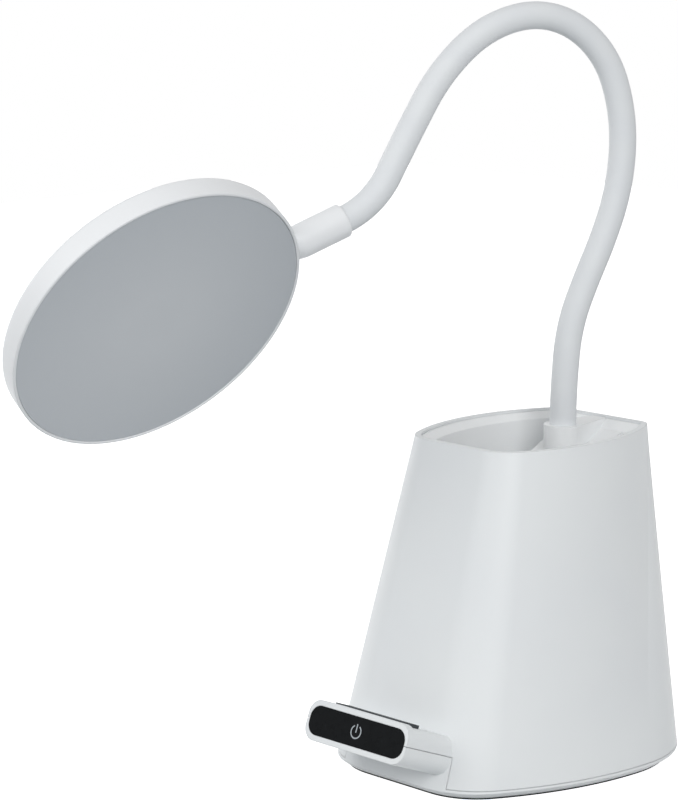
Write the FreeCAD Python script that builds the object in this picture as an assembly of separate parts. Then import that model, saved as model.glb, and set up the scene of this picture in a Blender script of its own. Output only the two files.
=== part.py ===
import FreeCAD, Part
import math
import os

# Desk lamp with a pen-holder base: a tapering white housing with an open pen
# cup, a phone ledge that carries the touch panel, a gooseneck and a round head.
# Millimetres. The origin is the middle of the foot pad's underside, +Z is up
# and -Y is the side with the phone ledge.

Vector = FreeCAD.Vector
X_AXIS = Vector(1, 0, 0)
Z_AXIS = Vector(0, 0, 1)
ORIGIN = Vector(0, 0, 0)
overrun = 1.0

# Housing plan: bowed sides between a straight front and a straight back
base_height = 126.0
foot_half_width = 60.8
foot_side_radius = 133.6
foot_side_centre = 19.3
foot_front = 63.9
foot_back = 63.9
foot_front_corner = 28.6
foot_back_corner = 47.3
rim_half_width = 35.8
rim_side_radius = 79.8
rim_side_centre = 14.2
rim_front = 29.3
rim_back = 57.85
rim_front_corner = 15.0
rim_back_corner = 6.9
least_corner = 1.5
shell_wall = 2.5
seam_gap = 0.15

# Foot pad and tray
pad_thickness = 0.8
pad_setback = 0.6
tray_floor = 2.5
bevel_height = 3.0
bevel_width = 4.3
bevel_land = 0.4
tray_seam = pad_thickness + bevel_height + bevel_land
tray_lip_height = 5.0
tray_lip_wall = 1.5
lip_clearance = 0.2

# Phone ledge, which falls toward the housing, and its touch panel
ledge_tilt_deg = 21.4
ledge_centre_height = 16.5
ledge_half_width = 25.8
ledge_half_height = 7.85
ledge_corner = 5.6
ledge_reach = 24.0
panel_half_width = 24.4
panel_half_height = 5.55
panel_corner = 4.6
panel_thickness = 1.5
panel_clearance = 0.12
panel_shoulder = 1.2
touch_board_thickness = 1.0
notch_margin = 0.6
notch_depth = 34.0
phone_lip_thickness = 4.0
phone_seat_drop = 0.9
phone_pad_thickness = 1.35
phone_pad_half_width = 18.0
phone_pad_depth = 9.3
phone_pad_corner = 1.0
phone_pad_gap = 0.2

# Pen cup liner and the tower that carries the gooseneck
cup_rim_drop = 0.8
cup_flange_thickness = 6.2
cup_mouth_drop = 3.4
cup_flange_height = base_height - cup_rim_drop
cup_shoulder_height = cup_flange_height - cup_flange_thickness
cup_mouth_height = cup_flange_height - cup_mouth_drop
cup_shoulder_depth = 3.0
cup_shoulder_wall = 2.2
cup_clearance = 0.25
cup_body_clearance = 1.0
cup_wall = 1.8
cup_flare = 1.4
cup_floor_level = 34.0
cup_floor = 2.0
cup_draft = 1.5
tower_y = 33.0
tower_rim_drop = 0.5
tower_top = base_height - tower_rim_drop
tower_radius = 7.5
tower_back_half_width = 3.5
tower_wall = 1.3
tower_cap = 5.0
gusset_half_width = 15.0
gusset_slope_deg = 25.0
gusset_length = 20.0

# Screws that clamp tray, ballast plate and pen cup together
case_screw_x = 20.0
case_screw_front_y = -13.0
case_screw_back_y = 38.0
case_screw_diameter = 3.0
case_screw_head = 5.6
case_screw_head_height = 2.0
case_screw_bite = 8.0
screw_clearance = 0.3
pilot_wall = 2.2
boss_wall = 2.6
tray_boss_height = 3.0
screw_recess = 0.5

# Ballast plate
ballast_thickness = 2.5
ballast_half_width = 40.0
ballast_front = 44.0
ballast_back = 27.0
ballast_corner = 10.0
ballast_screw_x = 34.0
ballast_screw_y = 22.5
ballast_screw_diameter = 2.6
ballast_screw_head = 5.0
ballast_screw_head_height = 1.6
ballast_screw_bite = 3.5

# Rechargeable cell and its cradle
cell_diameter = 18.4
cell_length = 65.0
cell_cap_diameter = 6.5
cell_cap_height = 1.0
cell_y = 8.0
cell_clearance = 0.3
cradle_floor = 1.2
cradle_wall = 1.5
cradle_rise = 8.0
contact_thickness = 0.6

# Main board with its charging socket
board_half_width = 15.0
board_front = 31.0
board_back = 59.0
board_thickness = 1.6
board_gap = 5.5
board_screw_inset = 3.0
board_screw_diameter = 2.0
board_screw_head = 3.8
board_screw_head_height = 1.3
board_screw_bite = 3.5
standoff_diameter = 5.0
port_width = 8.9
port_height = 3.2
port_length = 8.6
port_wall = 0.35
port_clearance = 0.3
port_inset = 0.9
port_tongue = 0.7
chip_size = 5.0
chip_height = 1.1
coil_size = 6.0
coil_height = 3.0

# Gooseneck: a bent tube in one upright plane, turned from the front to the left
neck_plane_deg = 21.6
neck_length = 297.0
neck_run_shares = (0.0943, 0.0741, 0.0539, 0.0606, 0.0943, 0.0875,
                   0.0909, 0.0842, 0.0808, 0.0943, 0.1010, 0.0841)
neck_turns_deg = (-5.0, -17.0, -3.0, 6.0, 18.0, 21.0,
                  39.0, 41.0, 29.0, 21.0, 2.0, -40.0)
sleeve_diameter = 10.5
core_diameter = 7.0
core_clearance = 0.3
link_gap = 1.4

# End fittings of the gooseneck
fitting_length = 12.0
fitting_diameter = 7.0
thread_diameter = 6.0
thread_length = 15.0
thread_clearance = 0.3
washer_diameter = 11.4
washer_thickness = 1.0
nut_flats = 10.0
nut_height = 5.0

# Round head
head_radius = 59.5
head_thickness = 10.5
head_wall = 2.0
head_lip = 1.2
head_back_round = 2.6
head_twist_deg = -54.0
collar_length = 22.5
collar_diameter = 13.1
collar_round = 1.2
collar_root_length = 4.5
collar_root_thickness = 8.4
socket_block_length = 13.0
socket_block_half_width = 7.0
spigot_length = 31.0
spigot_diameter = 5.0
spigot_clearance = 0.15
collar_screw_diameter = 2.0
collar_screw_inset = 4.0
diffuser_thickness = 1.6
diffuser_recess = 0.4
diffuser_clearance = 0.15
led_board_margin = 9.5
led_board_radius = head_radius - led_board_margin
led_board_thickness = 1.6
led_boss_height = 2.4
led_boss_diameter = 5.0
led_boss_circle_share = 0.64
led_boss_circle = led_boss_circle_share * led_board_radius
led_boss_count = 4
led_screw_diameter = 2.0
led_screw_head = 3.8
led_screw_head_height = 1.2
led_screw_bite = 3.0
led_length = 3.5
led_width = 2.8
led_height = 0.8
led_ring_shares = (0.24, 0.52, 0.86)
led_ring_counts = (6, 12, 20)


def cylinder(diameter, length, base, axis=Z_AXIS):
    return Part.makeCylinder(diameter / 2, length, base, axis)


def block(low, high):
    """A box between two opposite corners."""
    size = high.sub(low)
    return Part.makeBox(size.x, size.y, size.z, low)


def fused(pieces):
    """One solid from touching pieces."""
    whole = pieces[0]
    if len(pieces) > 1:
        whole = whole.fuse(pieces[1:]).removeSplitter()
    return whole


def upright_edges(shape):
    return [e for e in shape.Edges if abs(e.tangentAt(e.FirstParameter).z) > 0.9]


def plan_wire(height, inset, level):
    """The housing's plan outline at one height, drawn in by inset and laid at level."""
    rise = height / base_height

    def between(foot, rim):
        return foot + (rim - foot) * rise

    radius = between(foot_side_radius, rim_side_radius) - inset
    centre_x = between(foot_half_width, rim_half_width) - inset - radius
    centre_y = between(foot_side_centre, rim_side_centre)
    corners = []
    for y, foot_corner, rim_corner, side in (
        (inset - between(foot_front, rim_front), foot_front_corner, rim_front_corner, 1),
        (between(foot_back, rim_back) - inset, foot_back_corner, rim_back_corner, -1),
    ):
        corner = max(between(foot_corner, rim_corner) - inset, least_corner)
        corner_y = y + side * corner
        corner_x = centre_x + math.sqrt((radius - corner) ** 2 - (corner_y - centre_y) ** 2)
        toward = Vector(corner_x - centre_x, corner_y - centre_y, 0).normalize()
        corners.append((Vector(corner_x, corner_y, level), corner, toward, Vector(0, -side, 0)))

    def corner_points(place):
        centre, corner, toward, outward = place
        middle = (toward + outward).normalize()
        return [centre + way * corner for way in (outward, middle, toward)]

    def mirrored(point):
        return Vector(-point.x, point.y, point.z)

    front = corner_points(corners[0])
    back = corner_points(corners[1])
    middle_way = (corners[0][2] + corners[1][2]).normalize()
    side_middle = Vector(centre_x, centre_y, level) + middle_way * radius
    left_front = [mirrored(p) for p in front]
    left_back = [mirrored(p) for p in back]
    edges = [
        Part.LineSegment(left_front[0], front[0]),
        Part.Arc(front[0], front[1], front[2]),
        Part.Arc(front[2], side_middle, back[2]),
        Part.Arc(back[2], back[1], back[0]),
        Part.LineSegment(back[0], left_back[0]),
        Part.Arc(left_back[0], left_back[1], left_back[2]),
        Part.Arc(left_back[2], mirrored(side_middle), left_front[2]),
        Part.Arc(left_front[2], left_front[1], left_front[0]),
    ]
    return Part.Wire([edge.toShape() for edge in edges])


def ruled(lower, upper):
    return Part.makeLoft([lower, upper], True, True)


def housing_plug(inset):
    """The whole tapering form from the ground to the rim, drawn in by inset."""
    return ruled(plan_wire(0, inset, 0), plan_wire(base_height, inset, base_height))


def slab(low, high):
    """A layer wide enough to cut the housing between two heights."""
    reach = foot_half_width + foot_front + foot_back + ledge_reach
    return block(Vector(-reach, -reach, low), Vector(reach, reach, high))


def ring(outer_inset, inner_inset, low, high):
    """The housing's wall between two insets and two heights."""
    layer = slab(low, high)
    return housing_plug(outer_inset).common(layer).cut(housing_plug(inner_inset))


back_lean = (foot_back - rim_back) / base_height
phone_seat_front = phone_lip_thickness - ledge_reach
ledge_centre = Vector(
    0,
    (foot_front - rim_front) * ledge_centre_height / base_height - foot_front,
    ledge_centre_height,
)


def on_front_face(shape):
    """Move a shape from ledge axes, +Y into the housing and +Z up the panel's face."""
    turn = FreeCAD.Rotation(X_AXIS, -ledge_tilt_deg)
    shape.Placement = FreeCAD.Placement(ledge_centre, turn)
    return shape


def face_box(low, high):
    return on_front_face(block(low, high))


def rounded_prism(half_width, half_height, corner, low_y, high_y):
    """A bar with a round-cornered section in X and Z, in ledge axes."""
    width = half_width - corner
    height = half_height - corner
    diagonal = corner * math.sqrt(0.5)

    def point(x, z):
        return Vector(x, low_y, z)

    edges = []
    for side_x, side_z in ((1, 1), (-1, 1), (-1, -1), (1, -1)):
        start = point(side_x * half_width, side_z * height)
        middle = point(side_x * (width + diagonal), side_z * (height + diagonal))
        end = point(side_x * width, side_z * half_height)
        if side_x * side_z < 0:
            start, end = end, start
        edges.append(Part.Arc(start, middle, end).toShape())
    joined = []
    for here, following in zip(edges, edges[1:] + edges[:1]):
        joined.append(here)
        joined.append(Part.makeLine(here.Vertexes[-1].Point, following.Vertexes[0].Point))
    face = Part.Face(Part.Wire(joined))
    return face.extrude(Vector(0, high_y - low_y, 0))


def ledge_body():
    """The whole ledge, from inside the wall to its front."""
    return on_front_face(rounded_prism(
        ledge_half_width, ledge_half_height, ledge_corner, -ledge_reach, shell_wall))


def ledge_hollow():
    """The channel behind the panel and the pocket that the panel sits in."""
    behind = -ledge_reach + panel_thickness
    pocket = rounded_prism(
        panel_half_width + panel_clearance, panel_half_height + panel_clearance,
        panel_corner + panel_clearance, -ledge_reach - overrun, behind)
    channel = rounded_prism(
        panel_half_width - panel_shoulder, panel_half_height - panel_shoulder,
        panel_corner - panel_shoulder, behind - overrun, shell_wall + overrun)
    return on_front_face(pocket.fuse(channel))


def front_notch(gap):
    """The tray's share of the front: everything below the ledge's middle."""
    half_width = ledge_half_width + notch_margin - gap
    return face_box(
        Vector(-half_width, -ledge_reach - overrun, -2 * ledge_centre_height),
        Vector(half_width, notch_depth, -gap))


case_screw_places = [
    (side * case_screw_x, y)
    for side in (-1, 1)
    for y in (case_screw_front_y, case_screw_back_y)
]
ballast_screw_places = [(side * ballast_screw_x, ballast_screw_y) for side in (-1, 1)]
board_screw_places = [
    (side * (board_half_width - board_screw_inset), y)
    for side in (-1, 1)
    for y in (board_front + board_screw_inset, board_back - board_screw_inset * 2)
]
floor_top = pad_thickness + tray_floor
boss_top = floor_top + tray_boss_height
plate_top = boss_top + ballast_thickness
board_bottom = floor_top + board_gap
board_top = board_bottom + board_thickness
pillar_diameter = case_screw_diameter + 2 * pilot_wall
screw_hole = case_screw_diameter + screw_clearance
head_hole = case_screw_head + 2 * screw_clearance


def foot_pad():
    """Thin dark pad stuck under the whole tray, over the heads of the screws."""
    outline = Part.Face(plan_wire(0, bevel_width + pad_setback, 0))
    return outline.extrude(Vector(0, 0, pad_thickness))


def base_tray():
    """Bottom tray: bevelled floor, locating lip, front panel and lower half of the ledge."""
    bevel = ruled(plan_wire(0, bevel_width, pad_thickness),
                  plan_wire(0, -bevel_width, pad_thickness + 2 * bevel_height))
    layer = housing_plug(0).common(slab(pad_thickness, tray_seam)).common(bevel)
    lip_inset = shell_wall + lip_clearance
    recess = housing_plug(lip_inset + tray_lip_wall).common(
        slab(floor_top, tray_seam + overrun))
    floor = layer.cut(recess)
    lip = ring(lip_inset, lip_inset + tray_lip_wall, floor_top - seam_gap,
               floor_top + tray_lip_height)
    window = face_box(
        Vector(-panel_half_width, -ledge_reach, panel_shoulder - panel_half_height),
        Vector(panel_half_width, notch_depth, 2 * ledge_half_height))
    panel = ring(0, lip_inset, tray_seam - seam_gap,
                 ledge_centre_height).common(front_notch(seam_gap))
    ledge = ledge_body().common(front_notch(seam_gap))
    tray = fused([floor, lip.cut(window), panel, ledge])
    bosses = []
    holes = []
    boss_diameter = screw_hole + 2 * boss_wall
    for x, y in case_screw_places:
        bosses.append(cylinder(boss_diameter, tray_boss_height + tray_floor / 2,
                               Vector(x, y, floor_top - tray_floor / 2)))
        holes.append(cylinder(screw_hole, boss_top, Vector(x, y, 0)))
        holes.append(cylinder(head_hole, case_screw_head_height + screw_recess + pad_thickness,
                              Vector(x, y, 0)))
    for x, y in ballast_screw_places:
        bosses.append(cylinder(boss_diameter, tray_boss_height + tray_floor / 2,
                               Vector(x, y, floor_top - tray_floor / 2)))
        holes.append(cylinder(ballast_screw_diameter, ballast_screw_bite + overrun,
                              Vector(x, y, boss_top - ballast_screw_bite)))
    for x, y in board_screw_places:
        bosses.append(cylinder(standoff_diameter, board_gap + tray_floor / 2,
                               Vector(x, y, floor_top - tray_floor / 2)))
        holes.append(cylinder(board_screw_diameter, board_screw_bite + overrun,
                              Vector(x, y, board_bottom - board_screw_bite)))
    tray = fused([tray] + bosses).cut(holes)
    return tray.cut(ledge_hollow()).removeSplitter()


def back_face_y(height):
    return foot_back - back_lean * height


def base_shell():
    """Moulded housing with the upper half of the phone ledge."""
    low = tray_seam + seam_gap
    shell = ring(0, shell_wall, low, base_height)
    shoulder = ring(shell_wall - seam_gap, shell_wall + cup_shoulder_wall,
                    cup_shoulder_height - cup_shoulder_depth, cup_shoulder_height)
    shell = shell.cut(front_notch(0))
    upper = face_box(
        Vector(-ledge_half_width - overrun, -ledge_reach - overrun, 0),
        Vector(ledge_half_width + overrun, shell_wall + overrun, ledge_half_height + overrun))
    ledge = ledge_body().common(upper)
    seat = face_box(
        Vector(-ledge_half_width - overrun, phone_seat_front,
               ledge_half_height - phone_seat_drop),
        Vector(ledge_half_width + overrun, shell_wall, ledge_half_height + overrun))
    inside = housing_plug(shell_wall)
    shell = fused([shell, shoulder, ledge.cut(seat).cut(inside)])
    return shell.cut(ledge_hollow()).cut(port_opening()).removeSplitter()


def port_level():
    return board_top + port_height / 2


def port_bar(grow, low_y, high_y):
    """A flat bar with round ends along Y, the section of the charging socket."""
    bar = rounded_prism(port_width / 2 + grow, port_height / 2 + grow,
                        port_height / 2 + grow - port_wall / 2, low_y, high_y)
    bar.translate(Vector(0, 0, port_level()))
    return bar


def port_opening():
    outer = back_face_y(port_level())
    return port_bar(port_clearance, outer - 2 * shell_wall, outer + overrun)


def pad_on_ledge():
    """Rubber strip that the phone stands on."""
    top = ledge_half_height - phone_seat_drop + phone_pad_thickness
    front = phone_seat_front + phone_pad_gap
    strip = block(
        Vector(-phone_pad_half_width, front, ledge_half_height - phone_seat_drop),
        Vector(phone_pad_half_width, front + phone_pad_depth, top))
    return on_front_face(strip.makeFillet(phone_pad_corner, upright_edges(strip)))


def touch_panel():
    """Glossy black plate that is touched to switch and dim the lamp."""
    return on_front_face(rounded_prism(
        panel_half_width, panel_half_height, panel_corner,
        -ledge_reach, -ledge_reach + panel_thickness))


def touch_board():
    """Sensor board bonded to the back of the panel."""
    inset = panel_shoulder + panel_clearance * 2
    back = -ledge_reach + panel_thickness
    return on_front_face(rounded_prism(
        panel_half_width - inset, panel_half_height - inset, panel_corner - inset,
        back, back + touch_board_thickness))


cup_body_inset = shell_wall + cup_shoulder_wall + cup_body_clearance


def cup_wire(inset, level):
    """The liner's plan, which keeps the housing's plan at the shoulder."""
    return plan_wire(cup_shoulder_height, inset, level)


def tower_plan(radius, back_half_width, back, level):
    """U-shaped outline: round at the front, drawn in toward the back wall."""
    centre = Vector(0, tower_y, level)
    left = centre + Vector(-radius, 0, 0)
    right = centre + Vector(radius, 0, 0)
    front = centre + Vector(0, -radius, 0)
    far_left = Vector(-back_half_width, back, level)
    far_right = Vector(back_half_width, back, level)
    return Part.Wire([
        Part.Arc(left, front, right).toShape(),
        Part.makeLine(right, far_right),
        Part.makeLine(far_right, far_left),
        Part.makeLine(far_left, left),
    ])


def gusset(side):
    """Sloping rib beside the tower, from the liner's mouth down to the front."""
    mouth = rim_back - cup_body_inset - cup_wall
    drop = gusset_length * math.tan(math.radians(gusset_slope_deg))
    bottom = cup_floor_level - cup_floor
    inner = side * tower_back_half_width / 2
    points = [
        Vector(inner, mouth + cup_wall, cup_mouth_height),
        Vector(inner, mouth, cup_mouth_height),
        Vector(inner, mouth - gusset_length, cup_mouth_height - drop),
        Vector(inner, mouth - gusset_length, bottom),
        Vector(inner, mouth + cup_wall, bottom),
    ]
    face = Part.Face(Part.makePolygon(points + points[:1]))
    return face.extrude(Vector(side * gusset_half_width - inner, 0, 0))


def pen_cup():
    """Liner that holds pens, with the hollow tower for the gooseneck."""
    body_inset = cup_body_inset
    bottom = cup_floor_level - cup_floor
    outer = ruled(cup_wire(body_inset + cup_draft, bottom),
                  cup_wire(body_inset, cup_shoulder_height))
    inner = ruled(cup_wire(body_inset + cup_draft + cup_wall, cup_floor_level),
                  cup_wire(body_inset + cup_wall, cup_flange_height + overrun))
    flange = housing_plug(shell_wall + cup_clearance).common(
        slab(cup_shoulder_height, cup_flange_height))
    flare = ruled(
        plan_wire(cup_flange_height, body_inset + cup_wall - cup_flare / 3, cup_mouth_height),
        plan_wire(cup_flange_height, shell_wall + cup_clearance + cup_flare / 2,
                  cup_flange_height + seam_gap))
    cup = fused([outer, flange]).cut(inner).cut(flare)
    back_wall = rim_back - shell_wall - cup_clearance
    tower = Part.Face(tower_plan(
        tower_radius, tower_back_half_width, back_wall, bottom)).extrude(
            Vector(0, 0, tower_top - bottom))
    above = housing_plug(shell_wall + cup_clearance).common(
        slab(cup_shoulder_height, base_height))
    room = fused([outer, above])
    added = [piece.common(room) for piece in (tower, gusset(-1), gusset(1))]
    cup = fused([cup] + added)
    hollow = Part.Face(tower_plan(
        tower_radius - tower_wall, tower_back_half_width - tower_wall,
        back_wall - cup_shoulder_wall - 2 * cup_wall,
        bottom - overrun)).extrude(Vector(0, 0, tower_top - tower_cap - bottom + overrun))
    neck_hole = cylinder(thread_diameter + thread_clearance, tower_cap + 2 * overrun,
                         Vector(0, tower_y, tower_top - tower_cap - overrun))
    pillars = []
    pilots = []
    for x, y in case_screw_places:
        low = plate_top if y < 0 else boss_top
        pillars.append(cylinder(pillar_diameter, bottom + cup_floor / 2 - low, Vector(x, y, low)))
        pilots.append(cylinder(case_screw_diameter, case_screw_bite + overrun,
                               Vector(x, y, low - overrun)))
    return fused([cup] + pillars).cut([hollow, neck_hole] + pilots)


def screw(x, y, head_level, diameter, head_diameter, head_height, length, up):
    """Flat-headed screw; up is 1 where the shank points up, and -1 where it points down."""
    direction = Vector(0, 0, up)
    seat = Vector(x, y, head_level)
    head = cylinder(head_diameter, head_height, seat, direction * -1)
    shank = cylinder(diameter, length, seat, direction)
    return fused([head, shank])


def case_screws():
    """Four long screws up through the tray into the pen cup's pillars."""
    seat = pad_thickness + case_screw_head_height + screw_recess
    screws = []
    for x, y in case_screw_places:
        low = plate_top if y < 0 else boss_top
        screws.append(screw(
            x, y, seat, case_screw_diameter - screw_clearance / 2, case_screw_head,
            case_screw_head_height, low + case_screw_bite - seat - screw_clearance, 1))
    return Part.makeCompound(screws)


def ballast_plate():
    """Steel plate that keeps the lamp upright under its head."""
    plate = block(Vector(-ballast_half_width, -ballast_front, boss_top),
                  Vector(ballast_half_width, ballast_back, plate_top))
    plate = plate.makeFillet(ballast_corner, upright_edges(plate))
    holes = [
        cylinder(screw_hole, ballast_thickness + 2 * overrun, Vector(x, y, boss_top - overrun))
        for x, y in case_screw_places + ballast_screw_places
    ]
    return plate.cut(holes)


def ballast_screws():
    return Part.makeCompound([
        screw(x, y, plate_top, ballast_screw_diameter - screw_clearance / 2,
              ballast_screw_head, ballast_screw_head_height,
              ballast_thickness + ballast_screw_bite - screw_clearance, -1)
        for x, y in ballast_screw_places
    ])


cell_level = plate_top + cradle_floor + cell_clearance + cell_diameter / 2
cradle_half_length = cell_length / 2 + cell_cap_height + contact_thickness + cradle_wall


def battery_cell():
    """Rechargeable cell lying across the base."""
    start = Vector(-cell_length / 2, cell_y, cell_level)
    can = cylinder(cell_diameter, cell_length, start, X_AXIS)
    cap = cylinder(cell_cap_diameter, cell_cap_height,
                   start + Vector(cell_length, 0, 0), X_AXIS)
    return fused([can, cap])


def battery_cradle():
    """Open trough with end walls, taped to the ballast plate."""
    half_width = cell_diameter / 2 + cell_clearance + cradle_wall
    trough = block(
        Vector(-cradle_half_length, cell_y - half_width, plate_top),
        Vector(cradle_half_length, cell_y + half_width, plate_top + cradle_floor + cradle_rise))
    end = cradle_half_length - cradle_wall
    bore = cylinder(cell_diameter + 2 * cell_clearance, 2 * end,
                    Vector(-end, cell_y, cell_level), X_AXIS)
    return trough.cut(bore)


def battery_contacts():
    """Spring plates between the cell's ends and the cradle's end walls."""
    plates = []
    for side in (-1, 1):
        outer = side * (cradle_half_length - cradle_wall)
        inner = outer - side * contact_thickness
        low = min(outer, inner)
        top = plate_top + cradle_floor + cradle_rise
        plates.append(block(
            Vector(low, cell_y - cell_cap_diameter, cell_level - cell_cap_diameter),
            Vector(low + contact_thickness, cell_y + cell_cap_diameter, top)))
    return Part.makeCompound(plates)


def main_board():
    """Charging and dimming board on four standoffs."""
    board = block(Vector(-board_half_width, board_front, board_bottom),
                  Vector(board_half_width, board_back, board_top))
    holes = [
        cylinder(board_screw_diameter + screw_clearance, board_thickness + 2 * overrun,
                 Vector(x, y, board_bottom - overrun))
        for x, y in board_screw_places
    ]
    return board.cut(holes)


def board_parts():
    """Controller chip, coil and cable header soldered to the board."""
    middle = (board_front + board_back) / 2
    chip = block(Vector(-chip_size, middle - chip_size, board_top),
                 Vector(0, middle, board_top + chip_height))
    coil = cylinder(coil_size, coil_height, Vector(coil_size, middle, board_top))
    header = block(
        Vector(-chip_size, board_front + port_wall, board_top),
        Vector(chip_size, board_front + chip_size, board_top + coil_height))
    return Part.makeCompound([chip, coil, header])


def board_screws():
    return Part.makeCompound([
        screw(x, y, board_top, board_screw_diameter - screw_clearance / 2,
              board_screw_head, board_screw_head_height,
              board_thickness + board_screw_bite - screw_clearance, -1)
        for x, y in board_screw_places
    ])


def charging_socket():
    """Metal shell of the charging socket with its contact tongue."""
    mouth = back_face_y(port_level()) - port_inset
    back = mouth - port_length
    shell = port_bar(0, back, mouth).cut(
        port_bar(-port_wall, back + port_wall, mouth + overrun))
    tongue = block(
        Vector(-port_width / 3, back, port_level() - port_tongue / 2),
        Vector(port_width / 3, mouth - port_tongue, port_level() + port_tongue / 2))
    return fused([shell, tongue])


neck_foot = Vector(0, tower_y, tower_top)
neck_forward = Vector(-math.sin(math.radians(neck_plane_deg)),
                      -math.cos(math.radians(neck_plane_deg)), 0)
neck_side = neck_forward.cross(Z_AXIS)
neck_turn_axis = Z_AXIS.cross(neck_forward)


def heading_vector(heading):
    """Unit direction in the neck's plane, from upright (0) toward forward (90 degrees)."""
    angle = math.radians(heading)
    return neck_forward * math.sin(angle) + Z_AXIS * math.cos(angle)


def walk(start, heading, length, turn):
    """Where a run of the neck ends, and the centre that it bends about."""
    if abs(turn) < 0.01:
        return start + heading_vector(heading) * length, None
    radius = length / math.radians(turn)
    centre = start + heading_vector(heading + 90) * radius
    return centre - heading_vector(heading + turn + 90) * radius, centre


def neck_stations():
    """Place, direction and distance at the ends of all runs."""
    place, heading, along = neck_foot, 0.0, 0.0
    stations = [(place, heading, along)]
    for share, turn in zip(neck_run_shares, neck_turns_deg):
        length = share * neck_length
        place, _ = walk(place, heading, length, turn)
        heading += turn
        along += length
        stations.append((place, heading, along))
    return stations


stations = neck_stations()
neck_joints = stations[1::2]
section_ends = stations[0::2]
neck_end, end_heading, neck_reach = stations[-1]


def neck_tube(start, end, diameter, bore=0.0):
    """The stretch of the neck between two distances along it, as a rod or a tube."""
    pieces = []
    for (place, heading, along), (_, _, limit), turn in zip(
            stations, stations[1:], neck_turns_deg):
        low, high = max(start, along), min(end, limit)
        if high - low < core_clearance:
            continue
        rate = turn / (limit - along)
        begin, _ = walk(place, heading, low - along, rate * (low - along))
        begin_heading = heading + rate * (low - along)
        bend = rate * (high - low)
        _, centre = walk(begin, begin_heading, high - low, bend)
        direction = heading_vector(begin_heading)
        section = Part.Face(Part.Wire(Part.makeCircle(diameter / 2, begin, direction)))
        if bore:
            section = section.cut(
                Part.Face(Part.Wire(Part.makeCircle(bore / 2, begin, direction)))).Faces[0]
        if centre is None:
            pieces.append(section.extrude(direction * (high - low)))
        else:
            axis = neck_turn_axis if bend > 0 else neck_turn_axis * -1
            pieces.append(section.revolve(centre, axis, abs(bend)))
    return fused([Part.Solid(p) if p.ShapeType != "Solid" else p for p in pieces])


def neck_core(index):
    """One stretch of the bendable steel core, clear of the next where the neck flexes."""
    first = index == 0
    last = index == len(neck_joints)
    start = fitting_length if first else neck_joints[index - 1][2] + link_gap
    end = neck_reach - fitting_length if last else neck_joints[index][2] - link_gap
    return neck_tube(start, end, core_diameter)


def neck_sleeve(index):
    """One stretch of the silicone sleeve, which spans one flexing joint."""
    return neck_tube(section_ends[index][2], section_ends[index + 1][2], sleeve_diameter,
                     core_diameter + 2 * core_clearance)


def lower_fitting():
    """Crimped and threaded end that passes through the tower's cap."""
    crimp = neck_tube(0, fitting_length, fitting_diameter)
    thread = cylinder(thread_diameter, thread_length, neck_foot - Z_AXIS * thread_length)
    return fused([crimp, thread])


def neck_washer():
    base = neck_foot - Z_AXIS * (tower_cap + washer_thickness)
    return cylinder(washer_diameter, washer_thickness, base).cut(
        cylinder(thread_diameter + thread_clearance, washer_thickness, base))


def neck_nut():
    base = neck_foot - Z_AXIS * (tower_cap + washer_thickness + nut_height)
    corner = nut_flats / math.sqrt(3)
    corners = [
        base + Vector(corner * math.cos(math.radians(60 * k)),
                      corner * math.sin(math.radians(60 * k)), 0)
        for k in range(7)
    ]
    return Part.Face(Part.makePolygon(corners)).extrude(Z_AXIS * nut_height).cut(
        cylinder(thread_diameter + thread_clearance, nut_height, base))


neck_way = heading_vector(end_heading)
head_centre = neck_end + neck_way * (head_radius + collar_length)
twist = math.radians(head_twist_deg)
head_normal = (heading_vector(end_heading + 90) * math.cos(twist)
               + neck_side * math.sin(twist))
head_across = head_normal.cross(neck_way * -1)
half_head = head_thickness / 2


def on_head(shape):
    """Move a shape from head axes: +X toward the neck, +Z out of the lit face."""
    x, y, z = neck_way * -1, head_across, head_normal
    matrix = FreeCAD.Matrix(
        x.x, y.x, z.x, head_centre.x,
        x.y, y.y, z.y, head_centre.y,
        x.z, y.z, z.z, head_centre.z,
        0, 0, 0, 1)
    shape.Placement = FreeCAD.Placement(matrix)
    return shape


def turned(points):
    """A solid of revolution about Z from (radius, height) points and arcs."""
    edges = []
    for here, following in zip(points, points[1:] + points[:1]):
        start = Vector(here[0], 0, here[1])
        end = Vector(following[0], 0, following[1])
        if len(here) == 4:
            edges.append(Part.Arc(start, Vector(here[2], 0, here[3]), end).toShape())
        elif start.distanceToPoint(end) > 0:
            edges.append(Part.makeLine(start, end))
    face = Part.Face(Part.Wire(edges))
    return face.revolve(ORIGIN, Z_AXIS, 360)


board_level = -half_head + head_wall + led_boss_height
diffuser_top = half_head - diffuser_recess
diffuser_bottom = diffuser_top - diffuser_thickness
diffuser_radius = head_radius - head_lip - diffuser_clearance
led_boss_places = [
    (led_boss_circle * math.cos(math.radians(360 * (k + 0.5) / led_boss_count)),
     led_boss_circle * math.sin(math.radians(360 * (k + 0.5) / led_boss_count)))
    for k in range(led_boss_count)
]


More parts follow.
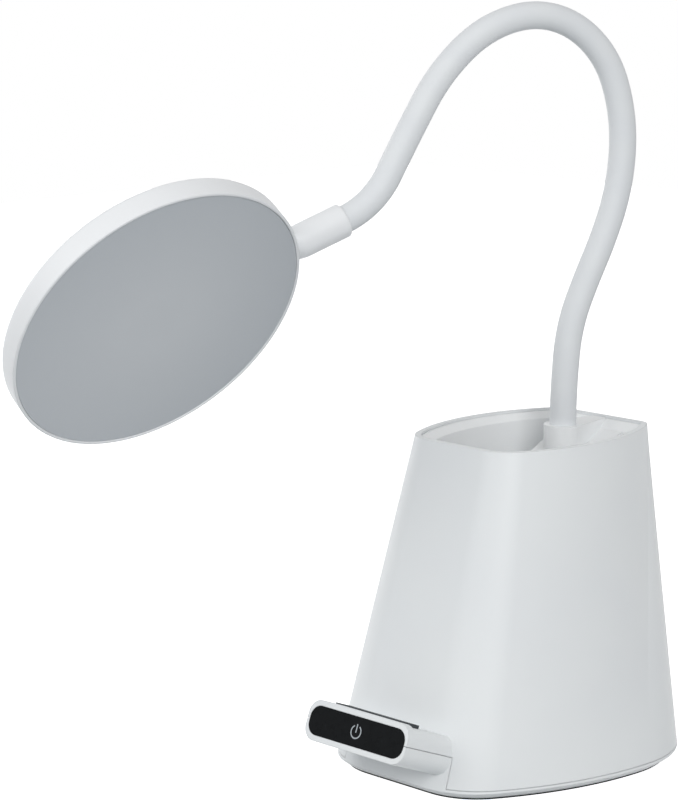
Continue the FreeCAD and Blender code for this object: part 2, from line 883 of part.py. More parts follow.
def head_shell():
    """Round back housing of the head, with its collar for the gooseneck."""
    nick = head_back_round * (1 - math.sqrt(0.5))
    outer = turned([
        (0, -half_head),
        (head_radius - head_back_round, -half_head,
         head_radius - nick, -half_head + nick),
        (head_radius, -half_head + head_back_round),
        (head_radius, half_head),
        (0, half_head),
    ])
    cavity = turned([
        (0, -half_head + head_wall),
        (head_radius - head_wall, -half_head + head_wall),
        (head_radius - head_wall, diffuser_bottom - diffuser_clearance),
        (head_radius - head_lip, diffuser_bottom - diffuser_clearance),
        (head_radius - head_lip, half_head + overrun),
        (0, half_head + overrun),
    ])
    root_start = head_radius - head_lip / 2
    root_end = root_start + collar_root_length
    wedge = Part.Face(Part.makePolygon([
        Vector(root_start, -collar_diameter, -collar_root_thickness / 2),
        Vector(root_end, -collar_diameter, -collar_diameter / 2),
        Vector(root_end, -collar_diameter, collar_diameter / 2),
        Vector(root_start, -collar_diameter, collar_root_thickness / 2),
        Vector(root_start, -collar_diameter, -collar_root_thickness / 2),
    ])).extrude(Vector(0, 2 * collar_diameter, 0))
    root = wedge.common(cylinder(
        collar_diameter, collar_root_length, Vector(root_start, 0, 0), X_AXIS))
    collar = cylinder(collar_diameter, head_radius + collar_length - root_end,
                      Vector(root_end, 0, 0), X_AXIS)
    rim_edges = [
        e for e in collar.Edges
        if abs(e.BoundBox.XMin - head_radius - collar_length) < 0.01 * collar_length
        and abs(e.BoundBox.XMax - head_radius - collar_length) < 0.01 * collar_length
    ]
    collar = collar.makeFillet(collar_round, rim_edges).fuse(root)
    socket = block(
        Vector(head_radius - head_wall - socket_block_length, -socket_block_half_width,
               -half_head + head_wall / 2),
        Vector(head_radius - head_wall / 2, socket_block_half_width,
               diffuser_bottom - diffuser_clearance))
    bosses = [
        cylinder(led_boss_diameter, led_boss_height + head_wall / 2,
                 Vector(x, y, board_level - led_boss_height - head_wall / 2))
        for x, y in led_boss_places
    ]
    pilots = [
        cylinder(led_screw_diameter, led_screw_bite + overrun,
                 Vector(x, y, board_level - led_screw_bite))
        for x, y in led_boss_places
    ]
    spigot_bore = cylinder(
        spigot_diameter + 2 * spigot_clearance, spigot_length + overrun,
        Vector(head_radius + collar_length - spigot_length, 0, 0), X_AXIS)
    screw_bore = cylinder(collar_screw_diameter, head_thickness,
                          Vector(collar_screw_x(), 0, -half_head + head_wall))
    shell = fused([outer.cut(cavity), collar, socket] + bosses)
    return on_head(shell.cut([spigot_bore, screw_bore] + pilots))


def collar_screw_x():
    return head_radius + collar_length - spigot_length + collar_screw_inset


def diffuser():
    """Opal disc, set just below the lip."""
    disc = cylinder(2 * diffuser_radius, diffuser_thickness, Vector(0, 0, diffuser_bottom))
    return on_head(disc)


def led_board():
    notch = block(
        Vector(head_radius - head_wall - socket_block_length - overrun,
               -socket_block_half_width - overrun, board_level - overrun),
        Vector(head_radius, socket_block_half_width + overrun,
               board_level + led_board_thickness + overrun))
    holes = [
        cylinder(led_screw_diameter + screw_clearance, led_board_thickness + 2 * overrun,
                 Vector(x, y, board_level - overrun))
        for x, y in led_boss_places
    ]
    disc = cylinder(2 * led_board_radius, led_board_thickness, Vector(0, 0, board_level))
    return on_head(disc.cut([notch] + holes))


def led_chips():
    """Surface-mounted lamps in three rings."""
    chips = []
    top = board_level + led_board_thickness
    for share, count in zip(led_ring_shares, led_ring_counts):
        for k in range(count):
            chip = block(Vector(-led_length / 2, -led_width / 2, top),
                         Vector(led_length / 2, led_width / 2, top + led_height))
            chip.translate(Vector(share * led_board_radius, 0, 0))
            chip.rotate(ORIGIN, Z_AXIS, 360 * (k + 0.5) / count)
            chips.append(chip)
    return on_head(Part.makeCompound(chips))


def led_screws():
    return on_head(Part.makeCompound([
        screw(x, y, board_level + led_board_thickness,
              led_screw_diameter - screw_clearance / 2, led_screw_head,
              led_screw_head_height,
              led_board_thickness + led_screw_bite - screw_clearance, -1)
        for x, y in led_boss_places
    ]))


def upper_fitting():
    """Crimped end with a spigot that runs through the collar into the head."""
    crimp = neck_tube(neck_reach - fitting_length, neck_reach, fitting_diameter)
    spigot = cylinder(
        spigot_diameter, spigot_length - spigot_clearance,
        Vector(head_radius + collar_length - spigot_length + spigot_clearance, 0, 0), X_AXIS)
    hole = cylinder(collar_screw_diameter + screw_clearance, head_thickness,
                    Vector(collar_screw_x(), 0, -half_head))
    return fused([crimp, on_head(spigot.cut(hole))])


def collar_screw():
    """Screw that crosses the spigot inside the head."""
    top = diffuser_bottom - diffuser_clearance
    length = top + half_head - head_wall - screw_clearance
    shank = cylinder(collar_screw_diameter - screw_clearance / 2, length,
                     Vector(collar_screw_x(), 0, top - length))
    return on_head(shank)


parts = {
    "foot_pad": foot_pad(),
    "base_tray": base_tray(),
    "base_shell": base_shell(),
    "pen_cup": pen_cup(),
    "phone_pad": pad_on_ledge(),
    "touch_panel": touch_panel(),
    "touch_board": touch_board(),
    "ballast_plate": ballast_plate(),
    "ballast_screws": ballast_screws(),
    "case_screws": case_screws(),
    "battery_cell": battery_cell(),
    "battery_cradle": battery_cradle(),
    "battery_contacts": battery_contacts(),
    "main_board": main_board(),
    "board_parts": board_parts(),
    "board_screws": board_screws(),
    "charging_socket": charging_socket(),
    "neck_fitting_lower": lower_fitting(),
    "neck_washer": neck_washer(),
    "neck_nut": neck_nut(),
    "neck_fitting_upper": upper_fitting(),
    "head_shell": head_shell(),
    "diffuser": diffuser(),
    "led_board": led_board(),
    "led_chips": led_chips(),
    "led_screws": led_screws(),
    "collar_screw": collar_screw(),
}
for index in range(len(neck_joints) + 1):
    parts[f"neck_core_{index}"] = neck_core(index)
for index in range(len(neck_joints)):
    parts[f"neck_sleeve_{index + 1}"] = neck_sleeve(index)

os.makedirs("parts", exist_ok=True)
for name, shape in parts.items():
    shape.exportStep(f"parts/{name}.step")
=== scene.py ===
import math
import bmesh
import bpy
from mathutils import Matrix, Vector


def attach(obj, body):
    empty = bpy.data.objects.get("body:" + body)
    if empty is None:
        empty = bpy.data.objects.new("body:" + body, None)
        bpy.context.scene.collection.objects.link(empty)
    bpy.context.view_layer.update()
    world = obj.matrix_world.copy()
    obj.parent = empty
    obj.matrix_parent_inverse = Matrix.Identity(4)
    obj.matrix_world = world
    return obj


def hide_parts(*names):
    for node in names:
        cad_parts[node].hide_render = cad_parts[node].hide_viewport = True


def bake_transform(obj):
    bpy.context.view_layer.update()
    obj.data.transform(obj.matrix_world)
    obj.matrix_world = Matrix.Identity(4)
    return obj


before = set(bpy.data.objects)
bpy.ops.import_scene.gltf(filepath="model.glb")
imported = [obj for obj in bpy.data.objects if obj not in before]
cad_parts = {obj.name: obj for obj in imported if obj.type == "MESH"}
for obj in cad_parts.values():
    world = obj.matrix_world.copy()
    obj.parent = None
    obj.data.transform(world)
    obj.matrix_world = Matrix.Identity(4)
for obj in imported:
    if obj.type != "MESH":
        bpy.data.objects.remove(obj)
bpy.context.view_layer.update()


# Foot pad: a sheet of dark closed-cell foam rubber, die-cut a little smaller
# than the tray's floor and stuck under it, so that the lamp can't slide.
MM = 0.001


def colour(code):
    """Linear RGBA from an sRGB hex code."""
    channels = [int(code[k:k + 2], 16) / 255 for k in (1, 3, 5)]
    return [c / 12.92 if c <= 0.04045 else ((c + 0.055) / 1.055) ** 2.4 for c in channels] + [1]


def add_node(tree, kind, settings=None, inputs=None):
    """A node with its settings; an input is a value or the socket that feeds it."""
    node = tree.nodes.new(kind)
    for name, value in (settings or {}).items():
        setattr(node, name, value)
    for name, value in (inputs or {}).items():
        if isinstance(value, bpy.types.NodeSocket):
            tree.links.new(value, node.inputs[name])
        else:
            node.inputs[name].default_value = value
    return node


def new_material(name, **shader_values):
    """A material with plain values on its shader; returns it, its nodes and its shader."""
    material = bpy.data.materials.new(name)
    material.use_nodes = True
    tree = material.node_tree
    shader = tree.nodes["Principled BSDF"]
    for socket, value in shader_values.items():
        shader.inputs[socket.replace("_", " ")].default_value = value
    return material, tree, shader


def two_tone(tree, shader, pattern, low, high, edges=(0.3, 0.7)):
    """Base colour that goes from one shade to another with a pattern."""
    ramp = add_node(tree, "ShaderNodeValToRGB", inputs={"Fac": pattern})
    for stop, shade, place in zip(ramp.color_ramp.elements, (low, high), edges):
        stop.position = place
        stop.color = colour(shade)
    tree.links.new(ramp.outputs["Color"], shader.inputs["Base Color"])


def mottling(tree, size, detail=2.0):
    """A pattern of soft patches of a real size, fixed to the piece."""
    place = add_node(tree, "ShaderNodeTexCoord").outputs["Object"]
    return add_node(tree, "ShaderNodeTexNoise", inputs={
        "Vector": place, "Scale": 1 / size, "Detail": detail}).outputs["Fac"]


def rough_between(tree, shader, pattern, low, high):
    """Roughness that goes from one value to another with a pattern."""
    span = add_node(tree, "ShaderNodeMapRange", inputs={
        "Value": pattern, "To Min": low, "To Max": high})
    tree.links.new(span.outputs["Result"], shader.inputs["Roughness"])


def finish_cad(name, material):
    """Give a CAD node its material."""
    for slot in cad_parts[name].material_slots:
        slot.material = material


# Cut foam shows its opened cells as fine dark pits and has no shine. Real cells
# are about 0.3 mm wide, and are drawn wider so that they show.
foam_cell = 0.9 * MM
foam, tree, shader = new_material("foam_rubber_die_cut", Roughness=0.9)
place = add_node(tree, "ShaderNodeTexCoord").outputs["Object"]
cells = add_node(tree, "ShaderNodeTexVoronoi", inputs={
    "Vector": place, "Scale": 1 / foam_cell}).outputs["Distance"]
two_tone(tree, shader, cells, "#101214", "#1e2225", (0.0, 1.0))
pits = add_node(tree, "ShaderNodeBump", inputs={
    "Height": cells, "Strength": 0.5, "Distance": 0.1 * MM})
tree.links.new(pits.outputs["Normal"], shader.inputs["Normal"])
finish_cad("foot_pad", foam)


# Tray and housing: both injection-moulded from white ABS. The tray closes the
# housing from below, and together they make the fixed ledge for a phone.
def moulded_abs(name, dip, shade):
    """White ABS from a spark-eroded mould: its grain gives a broad, soft sheen and no mirror."""
    # The grain scatters most of the gloss, so the specular level is half of the usual 0.5.
    material, tree, shader = new_material(name, IOR=1.54, Specular_IOR_Level=0.25)
    # Where the melt flowed, the white drifts by a shade over a few centimetres.
    flow_width = 45 * MM
    two_tone(tree, shader, mottling(tree, flow_width), dip, shade)
    # Real grain is about 0.05 mm wide, and is drawn wider so that it shows.
    grain_width = 0.45 * MM
    grain = mottling(tree, grain_width, 3.0)
    rough_between(tree, shader, grain, 0.37, 0.47)
    # A mould's edges have a small radius, which catches a thin line of light.
    edge_radius = 0.65 * MM
    edge = add_node(tree, "ShaderNodeBevel", {"samples": 6}, {"Radius": edge_radius})
    bump = add_node(tree, "ShaderNodeBump", inputs={
        "Height": grain, "Strength": 0.12, "Distance": 0.03 * MM,
        "Normal": edge.outputs["Normal"]})
    tree.links.new(bump.outputs["Normal"], shader.inputs["Normal"])
    return material


abs_white = moulded_abs("abs_white_moulded_satin", "#e6e9eb", "#e9eced")
finish_cad("base_tray", abs_white)
finish_cad("base_shell", abs_white)


# Ballast: a plate cut from cold-rolled steel, laid on the tray's bosses and
# held by two screws, so that the lamp stands with its head reached out.
steel, tree, shader = new_material("steel_plate_cold_rolled", Metallic=1.0)
place = add_node(tree, "ShaderNodeTexCoord").outputs["Object"]
# Rolling leaves streaks, dull and bright by turns, fifty times as long as they
# are wide. Real ones are about 0.1 mm wide, and are drawn wider so that they show.
streak_width = 0.4 * MM
streak_shape = (1 / 50, 1.0, 1.0)
along = add_node(tree, "ShaderNodeMapping", inputs={
    "Vector": place, "Scale": streak_shape}).outputs["Vector"]
streaks = add_node(tree, "ShaderNodeTexNoise", inputs={
    "Vector": along, "Scale": 1 / streak_width}).outputs["Fac"]
two_tone(tree, shader, streaks, "#84878b", "#95989c")
rough_between(tree, shader, streaks, 0.3, 0.55)
finish_cad("ballast_plate", steel)


# Screws, washer, nut and the neck's end fittings: turned steel with a thin
# zinc plating, driven or clamped in place.
# Bright zinc is slightly blue, with cloudy patches between one and two mm wide.
zinc, tree, shader = new_material("steel_zinc_plated", Metallic=1.0, Roughness=0.32)
two_tone(tree, shader, mottling(tree, 1.5 * MM), "#a9b0b6", "#c6cbcf")
for name in ("ballast_screws", "case_screws", "board_screws", "led_screws", "collar_screw",
             "neck_washer", "neck_nut", "neck_fitting_lower", "neck_fitting_upper"):
    finish_cad(name, zinc)


# Cell: a rolled steel can in blue shrink-wrapped PVC, pressed into a black
# moulded cradle between two nickel-plated spring contacts.
# The tight film is glossy, and its blue thins over the can's unevenness.
wrap, tree, shader = new_material("pvc_shrink_wrap", Roughness=0.28)
two_tone(tree, shader, mottling(tree, 6 * MM), "#2f5f96", "#3a6da6")
finish_cad("battery_cell", wrap)

# An unpolished mould leaves the cradle a dull black with a fine speckle.
cradle, tree, shader = new_material("polycarbonate_black_moulded", Roughness=0.55)
two_tone(tree, shader, mottling(tree, 0.6 * MM), "#1b1c1e", "#26282a")
finish_cad("battery_cradle", cradle)

# Nickel is a warm, bright metal, with duller smears where it was handled.
nickel, tree, shader = new_material("steel_nickel_plated", Metallic=1.0)
smears = mottling(tree, 2 * MM)
two_tone(tree, shader, smears, "#c4bfb3", "#cfcabf")
rough_between(tree, shader, smears, 0.18, 0.32)
finish_cad("battery_contacts", nickel)
finish_cad("charging_socket", nickel)


# Circuit boards: glass-fibre laminate under green solder mask, with epoxy
# parts soldered on top.
# The mask is a clear dark green, and paler where it lies over copper.
copper_spacing = 9 * MM
laminate, tree, shader = new_material("glass_fibre_laminate_green_mask", Roughness=0.35)
place = add_node(tree, "ShaderNodeTexCoord").outputs["Object"]
tracks = add_node(tree, "ShaderNodeTexBrick", inputs={
    "Vector": place, "Scale": 1 / copper_spacing, "Color1": colour("#1f5a35"),
    "Color2": colour("#24633b"), "Mortar": colour("#2f7a4b")})
tree.links.new(tracks.outputs["Color"], shader.inputs["Base Color"])
finish_cad("main_board", laminate)
finish_cad("touch_board", laminate)

# Moulded epoxy is a matt charcoal, speckled by its filler.
epoxy, tree, shader = new_material("epoxy_black_moulded", Roughness=0.6)
two_tone(tree, shader, mottling(tree, 0.3 * MM), "#17181a", "#222427")
finish_cad("board_parts", epoxy)


# Pen cup: a liner moulded from the same ABS, dropped in from above until its
# flange rests on the housing's shoulder, then pulled down by the case screws.
# Its white is painted paler than the housing's, as painted light that keeps the deep, shaded space
# for pens pale.
liner_painted_paler = moulded_abs("abs_white_liner_painted_paler", "#eef0f1", "#f1f3f4")
finish_cad("pen_cup", liner_painted_paler)


# Phone pad: a strip of soft dark rubber, cut to length and glued behind the
# ledge's lip, where the edge of the phone stands on it.
# Sheet rubber is dull, with a faint uneven skin.
rubber, tree, shader = new_material("rubber_strip_cut", Roughness=0.7)
skin = mottling(tree, 0.5 * MM)
two_tone(tree, shader, skin, "#2c3033", "#373c40")
bump = add_node(tree, "ShaderNodeBump", inputs={
    "Height": skin, "Strength": 0.3, "Distance": 0.05 * MM})
tree.links.new(bump.outputs["Normal"], shader.inputs["Normal"])
finish_cad("phone_pad", rubber)


# Touch panel: a plate of black acrylic, cut, polished and let into the front of
# the ledge over its sensor board. It looks deep black with a dim reflection, as
# a coated panel does, so its specular level is far below the usual 0.5.
acrylic, tree, shader = new_material("acrylic_black_polished", IOR=1.49, Specular_IOR_Level=0.06)
haze = mottling(tree, 3 * MM)
two_tone(tree, shader, haze, "#0e1012", "#121416")
rough_between(tree, shader, haze, 0.24, 0.32)
finish_cad("touch_panel", acrylic)


# Power mark: printed on the panel in pale grey ink, a ring that is open at
# the top with a bar standing in the opening.
def add_piece(name, vertices, faces, material, body=None, smooth=True):
    """A mesh object in the lamp's own frame, riding on a body where one is given."""
    mesh = bpy.data.meshes.new(name)
    mesh.from_pydata([tuple(v) for v in vertices], [], faces)
    if smooth:
        mesh.shade_smooth()
    else:
        mesh.shade_flat()
    mesh.materials.append(material)
    piece = bpy.data.objects.new(name, mesh)
    bpy.context.scene.collection.objects.link(piece)
    if body:
        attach(piece, body)
    return piece


ledge_tilt = math.radians(21.4)
ledge_foot = Vector((0, -59.369, 16.5)) * MM
ledge_out = Vector((0, -math.cos(ledge_tilt), math.sin(ledge_tilt)))
ledge_up = Vector((0, math.sin(ledge_tilt), math.cos(ledge_tilt)))
panel_reach = 24.0 * MM
ink_thickness = 0.02 * MM


def on_panel(x, up):
    """A point on the ink's face, from the middle of the panel."""
    return ledge_foot + ledge_out * (panel_reach + ink_thickness) + ledge_up * up + Vector((x, 0, 0))


# Printed ink is flat, with a slight unevenness as fine as the screen's dots.
ink, tree, shader = new_material("ink_printed_grey", Roughness=0.5)
two_tone(tree, shader, mottling(tree, 0.2 * MM), "#9aa2a8", "#b0b6bb")
ring_radius = 2.45 * MM
stroke = 0.5 * MM
# The ring's opening reaches this many degrees to each side of the top.
ring_gap = 32
ring_steps = 48
bar_foot = -0.35 * MM
bar_top = 2.9 * MM
points = []
for step in range(ring_steps + 1):
    angle = math.radians(90 + ring_gap + (360 - 2 * ring_gap) * step / ring_steps)
    for radius in (ring_radius - stroke / 2, ring_radius + stroke / 2):
        points.append(on_panel(radius * math.cos(angle), radius * math.sin(angle)))
faces = [(2 * k, 2 * k + 1, 2 * k + 3, 2 * k + 2) for k in range(ring_steps)]
faces.append(tuple(range(len(points), len(points) + 4)))
points += [on_panel(-stroke / 2, bar_foot), on_panel(stroke / 2, bar_foot),
           on_panel(stroke / 2, bar_top), on_panel(-stroke / 2, bar_top)]
add_piece("power_mark", points, faces, ink, "base", smooth=False)


# Gooseneck conduit: spring steel wire wound tight, which stays where it is
# bent. It is crimped into a threaded fitting at each end.
neck_foot = Vector((0, 33, 125.5)) * MM
neck_turn = math.radians(21.6)
neck_forward = Vector((-math.sin(neck_turn), -math.cos(neck_turn), 0))
upright = Vector((0, 0, 1))
neck_side = neck_forward.cross(upright)
neck_length = 297 * MM
# Each run is an arc: its share of the neck's length, and its turn in degrees.
neck_runs = ((0.0943, -5), (0.0741, -17), (0.0539, -3), (0.0606, 6), (0.0943, 18), (0.0875, 21),
             (0.0909, 39), (0.0842, 41), (0.0808, 29), (0.0943, 21), (0.1010, 2), (0.0841, -40))


def heading_way(heading):
    """Direction in the neck's plane, from upright (0) toward the front (90 degrees)."""
    angle = math.radians(heading)
    return neck_forward * math.sin(angle) + upright * math.cos(angle)


def neck_at(distance):
    """Place and heading on the neck's middle line, at a distance from its foot."""
    place, heading = neck_foot.copy(), 0.0
    for share, turn in neck_runs:
        run = share * neck_length
        part = min(max(distance / run, 0.0), 1.0)
        radius = run / math.radians(turn)
        centre = place + heading_way(heading + 90) * radius
        heading += turn * part
        place = centre - heading_way(heading + 90) * radius
        distance -= run
        if distance <= 0:
            break
    return place, heading


# Two runs make a stretch, and each stretch has a hinge in its middle.
run_ends = [0.0]
for share, turn in neck_runs:
    run_ends.append(run_ends[-1] + share * neck_length)
stretch_ends = run_ends[0::2]
neck_bodies = ["base"] + [f"neck_link_{k}" for k in range(1, 6)] + ["head"]
stretches = range(len(neck_bodies) - 1)


def along_neck(start, end, step=1.5 * MM):
    """Distances from start to end of a stretch, about a step apart."""
    count = max(2, round((end - start) / step))
    return [start + (end - start) * k / count for k in range(count + 1)]


def ring_faces(first, rows, sides, closed=False):
    """Faces between neighbouring rings of points; in a closed tube the last ring meets the first."""
    faces = []
    for row in range(rows if closed else rows - 1):
        low, high = first + row * sides, first + (row + 1) % rows * sides
        for side in range(sides):
            following = (side + 1) % sides
            faces.append((low + side, low + following, high + following, high + side))
    return faces


def sharpen_edges(piece, angle):
    """Turn the faces outward, and keep the edges sharp that bend by more than an angle."""
    form = bmesh.new()
    form.from_mesh(piece.data)
    bmesh.ops.recalc_face_normals(form, faces=form.faces)
    for edge in form.edges:
        edge.smooth = edge.calc_face_angle(0) < math.radians(angle)
    form.to_mesh(piece.data)
    form.free()


def neck_tube(name, start, end, profile, material, sides):
    """A closed tube along the neck; profile gives its surfaces as lists of (distance, radius)."""
    points = []
    for distance, radius in profile(start, end):
        place, heading = neck_at(distance)
        out = heading_way(heading + 90)
        for side in range(sides):
            angle = math.tau * side / sides
            points.append(place + (out * math.cos(angle) + neck_side * math.sin(angle)) * radius)
    faces = ring_faces(0, len(points) // sides, sides, closed=True)
    tube = add_piece(name, points, faces, material)
    sharpen_edges(tube, angle=50)
    return tube


def bend_with_neck(piece, index):
    """Bake a stretch's placement into its mesh."""
    neck_at(stretch_ends[index])[0]
    neck_at(stretch_ends[index + 1])[0]
    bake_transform(piece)


conduit_radius = 3.1 * MM
conduit_bore = 1.6 * MM
wire_width = 2.0 * MM
ridge_height = 0.4 * MM


def conduit_profile(start, end):
    """Wound wire shows as rounded ridges outside and a plain bore inside."""
    outside = []
    for distance in along_neck(start, end, wire_width / 4):
        ridge = abs(math.sin(math.pi * distance / wire_width))
        outside.append((distance, conduit_radius + ridge_height * ridge))
    return outside + [(d, conduit_bore) for d in reversed(along_neck(start, end))]


# Drawn spring wire is a cool grey metal, with duller patches from its oil.
winding, tree, shader = new_material("spring_steel_wound", Metallic=1.0)
drawn = mottling(tree, 0.8 * MM)
two_tone(tree, shader, drawn, "#909398", "#a6a9ad")
rough_between(tree, shader, drawn, 0.28, 0.42)
fitting_length = 12 * MM
for index in stretches:
    start = max(stretch_ends[index], fitting_length)
    end = min(stretch_ends[index + 1], neck_length - fitting_length)
    conduit = neck_tube(f"conduit_{index + 1}", start, end, conduit_profile, winding, sides=24)
    bend_with_neck(conduit, index)
    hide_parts(f"neck_core_{index}")
    if index == stretches[-1]:
        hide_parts("neck_core_6")


# Gooseneck sleeve: one extruded tube of white silicone drawn over the
# conduit. It is soft, and bends with the conduit.
sleeve_radius = 5.25 * MM
sleeve_bore = 3.8 * MM


def sleeve_profile(start, end):
    """A smooth wall from one end of a stretch to the other."""
    outside = [(d, sleeve_radius) for d in along_neck(start, end)]
    return outside + [(d, sleeve_bore) for d in reversed(along_neck(start, end))]


# Extruded silicone has a chalky bloom that takes half of its gloss. The bloom's
# powder is drawn coarser than it is, so that it shows.
silicone, tree, shader = new_material("silicone_white_extruded", IOR=1.41, Specular_IOR_Level=0.25)
two_tone(tree, shader, mottling(tree, 12 * MM), "#dee1e4", "#e1e4e6")
chalk = mottling(tree, 0.6 * MM)
rough_between(tree, shader, chalk, 0.5, 0.58)
bump = add_node(tree, "ShaderNodeBump", inputs={
    "Height": chalk, "Strength": 0.1, "Distance": 0.03 * MM})
tree.links.new(bump.outputs["Normal"], shader.inputs["Normal"])
for index in stretches:
    sleeve = neck_tube(f"sleeve_{index + 1}", stretch_ends[index], stretch_ends[index + 1],
                       sleeve_profile, silicone, sides=48)
    bend_with_neck(sleeve, index)
    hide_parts(f"neck_sleeve_{index + 1}")


# Head: a round housing moulded in one piece with its collar, from the same
# ABS. It holds the neck's spigot and the board of small lamps.
# Its sizes are in millimetres, and on_head turns them into places.
head_radius = 59.5
half_head = 5.25
collar_length = 22.5
collar_radius = 6.55
neck_end, end_heading = neck_at(neck_length)
neck_way = heading_way(end_heading)
head_centre = neck_end + neck_way * (head_radius + collar_length) * MM
head_twist = math.radians(-54)
head_normal = (heading_way(end_heading + 90) * math.cos(head_twist)
               + neck_side * math.sin(head_twist))
head_across = head_normal.cross(-neck_way)


def on_head(x, y, z):
    """Head axes in millimetres: x toward the neck, z out of the lit face."""
    return head_centre + (-neck_way * x + head_across * y + head_normal * z) * MM


def arc(centre, radius, start, end, steps):
    """Points of a rounded edge in a section."""
    turns = [math.radians(start + (end - start) * k / steps) for k in range(steps + 1)]
    return [(centre[0] + radius * math.cos(t), centre[1] + radius * math.sin(t)) for t in turns]


# The section runs from the middle of the back, round the rim and its lip, and
# down the inside to the back wall, as pairs of radius and level.
back_round = 2.6
lip_round = 0.45
lip_inner = 58.3
lip_inner_round = 0.2
ledge_level = 3.1
wall_inner = 57.5
back_wall = 2.0
inside_level = back_wall - half_head
# Loops on the flat stretches keep their faces short.
back_loops = (20.0, 40.0)
inside_loop = 30.0
section = [(0.0, -half_head)] + [(radius, -half_head) for radius in back_loops]
section += arc((head_radius - back_round, back_round - half_head), back_round, -90, 0, 10)
section += [(head_radius, 0.0)]
section += arc((head_radius - lip_round, half_head - lip_round), lip_round, 0, 90, 5)
section += arc((lip_inner + lip_inner_round, half_head - lip_inner_round),
               lip_inner_round, 90, 180, 3)
section += [(lip_inner, ledge_level), (wall_inner, ledge_level), (wall_inner, inside_level),
            (inside_loop, inside_level), (0.0, inside_level)]
head_sides = 180
points = [on_head(0, 0, -half_head)]
for radius, level in section[1:-1]:
    for side in range(head_sides):
        angle = math.tau * side / head_sides
        points.append(on_head(radius * math.cos(angle), radius * math.sin(angle), level))
points.append(on_head(0, 0, inside_level))
faces = ring_faces(1, len(section) - 2, head_sides)
middle = len(points) - 1
inner_ring = middle - head_sides
for side in range(head_sides):
    following = (side + 1) % head_sides
    faces.append((0, 1 + following, 1 + side))
    faces.append((inner_ring + side, inner_ring + following, middle))

# The collar's rings go from a root in the rim, wider and flatter than the
# collar, to a round end that is rounded over into the bore for the sleeve.
collar_tip = head_radius + collar_length
root_depth = 0.9
root_step = 0.45
root_rings = 12
root_widening = 0.9
root_flattening = 2.25
tip_round = 1.2
sleeve_hole = 5.2
hole_depth = 2.0
collar_loops = [70.0, 76.0]
collar_sides = 64
collar_first = len(points)
stations = [(head_radius - root_depth + root_step * k) for k in range(root_rings + 1)]
stations += collar_loops + [collar_tip - tip_round]
rings = []
for x in stations:
    part = min((x - stations[0]) / (root_step * root_rings), 1.0)
    ease = (1 - part) ** 2
    rings.append((x, collar_radius + root_widening * ease * ease,
                  collar_radius - root_flattening * ease))
tip_middle = (collar_radius - tip_round, collar_tip - tip_round)
rings += [(x, r, r) for r, x in arc(tip_middle, tip_round, 15, 90, 6)]
rings += [(x, sleeve_hole, sleeve_hole) for x in (collar_tip, collar_tip - hole_depth)]
for x, half_width, half_depth in rings:
    for side in range(collar_sides):
        angle = math.tau * side / collar_sides
        points.append(on_head(x, half_width * math.cos(angle), half_depth * math.sin(angle)))
faces += ring_faces(collar_first, len(rings), collar_sides)

# The head's white is painted a little paler than the housing's same ABS, as painted light that makes
# up for a dimmer lamp on the head.
head_painted_paler = moulded_abs("abs_white_head_painted_paler", "#e9ebed", "#ebedef")
head = add_piece("head_housing", points, faces, head_painted_paler)
sharpen_edges(head, angle=40)
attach(head, "head")
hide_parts("head_shell")


# Light source: small lamps under cast yellow phosphor on an aluminium board
# with white solder mask, screwed to the head's bosses.
# The mask is a warm white enamel with a soft shine.
mask, tree, shader = new_material("aluminium_board_white_mask", Roughness=0.4)
two_tone(tree, shader, mottling(tree, 8 * MM), "#e9e9e6", "#efefec")
finish_cad("led_board", mask)

# Cast phosphor is a wet-looking yellow, paler where the casting is thin.
phosphor, tree, shader = new_material("silicone_phosphor_cast", Roughness=0.3)
two_tone(tree, shader, mottling(tree, 1 * MM), "#e3b847", "#ecc765")
finish_cad("led_chips", phosphor)


# Diffuser: a disc of opal acrylic, laser-cut and snapped in behind the lip.
# Unlit it is blue-grey and satin, a little paler in the middle, where the
# white board shows through.
pale_radius = 15 * MM
dark_radius = 59 * MM
opal, tree, shader = new_material("acrylic_opal_cut", IOR=1.49)
place = add_node(tree, "ShaderNodeTexCoord").outputs["Object"]
reach = add_node(tree, "ShaderNodeVectorMath", {"operation": "DISTANCE"}, {
    0: place, 1: head_centre}).outputs["Value"]
paleness = add_node(tree, "ShaderNodeMapRange", inputs={
    "Value": reach, "From Min": pale_radius, "From Max": dark_radius,
    "To Min": 1.0, "To Max": 0.0}).outputs["Result"]
two_tone(tree, shader, paleness, "#b9bec3", "#c6cace", (0.0, 1.0))
rough_between(tree, shader, mottling(tree, 2 * MM), 0.42, 0.5)
finish_cad("diffuser", opal)


# Studio: a wide sheet of pale paper under the lamp, and soft boxes that light
# it from the front and from both sides.
def seen_directly(tree):
    """1 for the camera and for what gloss and glass show, and 0 for light on other things."""
    rays = add_node(tree, "ShaderNodeLightPath").outputs
    seen = rays["Is Camera Ray"]
    for kind in ("Is Glossy Ray", "Is Transmission Ray"):
        seen = add_node(tree, "ShaderNodeMath", {"operation": "MAXIMUM"}, {
            0: seen, 1: rays[kind]}).outputs["Value"]
    return seen


# The paper throws back light as a mid-grey, and looks white with a faint shadow.
paper_glow = 0.82
paper, tree, shader = new_material("paper_sweep", Roughness=0.9)
seen = seen_directly(tree)
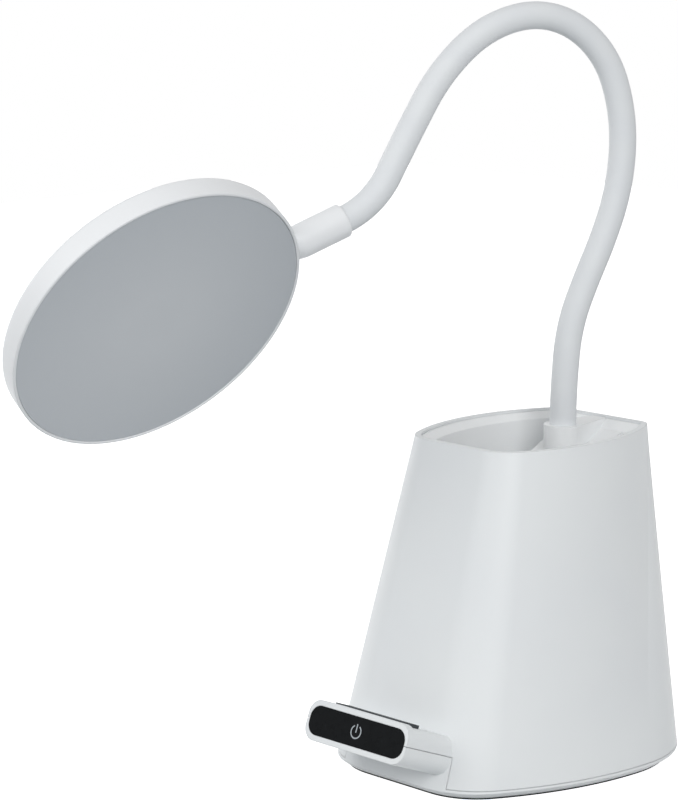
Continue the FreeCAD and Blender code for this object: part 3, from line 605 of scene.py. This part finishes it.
# Inputs 6 and 7 of a colour mix are its two colours, and output 2 is the result.
tone = add_node(tree, "ShaderNodeMix", {"data_type": "RGBA"}, {
    "Factor": seen, 6: colour("#b9bcbe"), 7: colour("#ffffff")})
tree.links.new(tone.outputs[2], shader.inputs["Base Color"])
glow = add_node(tree, "ShaderNodeMath", {"operation": "MULTIPLY"}, {0: seen, 1: paper_glow})
shader.inputs["Emission Color"].default_value = colour("#ffffff")
tree.links.new(glow.outputs["Value"], shader.inputs["Emission Strength"])
half_floor = 1.6
floor = add_piece("floor", [(-half_floor, -half_floor, 0), (half_floor, -half_floor, 0),
                            (half_floor, half_floor, 0), (-half_floor, half_floor, 0)],
                  [(0, 1, 2, 3)], paper, smooth=False)

# The room is white where it is seen, and dimmer as a light.
room_light = 0.4
world = bpy.data.worlds.new("studio")
bpy.context.scene.world = world
world.use_nodes = True
tree = world.node_tree
backdrop = tree.nodes["Background"]
backdrop.inputs["Color"].default_value = colour("#ffffff")
level = add_node(tree, "ShaderNodeMapRange", inputs={
    "Value": seen_directly(tree), "To Min": room_light, "To Max": 1.0})
tree.links.new(level.outputs["Result"], backdrop.inputs["Strength"])

# Three soft boxes aim at the middle of the lamp.
lamp_middle = Vector((0, 0, 0.12))


def soft_box(name, place, size, watts):
    """A square soft box that faces the middle of the lamp."""
    light = bpy.data.lights.new(name, "AREA")
    light.shape = "RECTANGLE"
    light.size, light.size_y = size, size
    light.energy = watts
    holder = bpy.data.objects.new(name, light)
    holder.location = place
    holder.visible_camera = False
    aim = lamp_middle - Vector(place)
    holder.rotation_euler = aim.to_track_quat("-Z", "Y").to_euler()
    bpy.context.scene.collection.objects.link(holder)


soft_box("soft_box_front", (-0.45, -1.2, 0.8), 0.8, 4.9)
soft_box("soft_box_right", (1.15, -0.75, 0.85), 0.8, 11.0)
soft_box("soft_box_left", (-1.45, 0.0, 0.3), 1.0, 6.5)


# Camera: a long lens, turned 45 degrees to the base and a little above it,
# as in the photograph.
camera_turn = 45.2
camera_drop = 10.64
camera_data = bpy.data.cameras.new("camera")
camera_data.sensor_fit = "VERTICAL"
camera_data.sensor_height = 36.0
camera_data.lens = 126.36
camera_data.clip_start = 0.01
camera = bpy.data.objects.new("camera", camera_data)
bpy.context.scene.collection.objects.link(camera)
camera.location = (0.70402, -0.78967, 0.33774)
camera.rotation_euler = (math.radians(90 - camera_drop), 0, math.radians(camera_turn))
bpy.context.scene.camera = camera
bpy.context.scene.view_settings.view_transform = "Standard"
